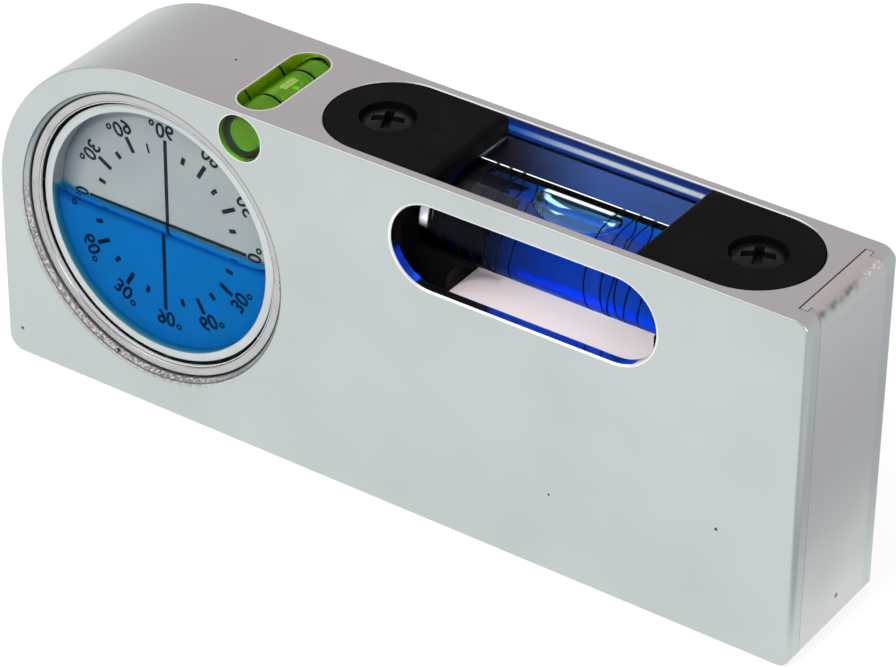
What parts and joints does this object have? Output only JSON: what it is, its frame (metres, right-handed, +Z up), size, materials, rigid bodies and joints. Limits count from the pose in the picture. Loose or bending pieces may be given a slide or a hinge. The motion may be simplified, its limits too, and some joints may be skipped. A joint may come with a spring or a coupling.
{
  "type": "magnetic spirit level",
  "caption": "Pocket spirit level with a flat magnetic base and end, a horizontal vial read from above and the side, a cross vial and a round inclinometer.",
  "frame": {"origin": "middle of the base, at the centre of the footprint", "axes": "+X along the length towards the magnetic end face, +Z up, the dial and the viewing window face -Y"},
  "size_m": [0.11, 0.0186, 0.0455],
  "materials": {
    "cast_aluminium": "fine satin silver, evenly bead blasted",
    "bezel_metal": "bright turned metal",
    "clear_acrylic": "clear polished acrylic",
    "scale_card": "pale grey, printed with black scale marks",
    "blue_liquid": "clear blue spirit",
    "black_plastic": "black moulded plastic, fine satin grain",
    "black_steel": "blackened steel",
    "green_acrylic": "clear acrylic tinted by its liquid",
    "green_liquid": "clear yellow-green spirit",
    "magnet_nickel": "nickel plated magnet"
  },
  "bodies": {
    "root": {"body": "cast_aluminium", "end_strip": "cast_aluminium", "bezel_ring": "bezel_metal", "dial_window": "clear_acrylic", "dial_cup": "clear_acrylic", "main_vial": "clear_acrylic", "main_vial_plug": "clear_acrylic", "dial_scale": "scale_card", "dial_liquid": "blue_liquid", "main_vial_liquid": "blue_liquid", "left_vial_holder": "black_plastic", "right_vial_holder": "black_plastic", "left_holder_screw": "black_steel", "right_holder_screw": "black_steel", "cross_vial": "green_acrylic", "cross_vial_plug": "green_acrylic", "cross_vial_liquid": "green_liquid", "end_magnet_lower": "magnet_nickel", "end_magnet_upper": "magnet_nickel", "base_magnet_1": "magnet_nickel", "base_magnet_2": "magnet_nickel", "base_magnet_3": "magnet_nickel", "base_magnet_4": "magnet_nickel"}
  },
  "joints": []
}
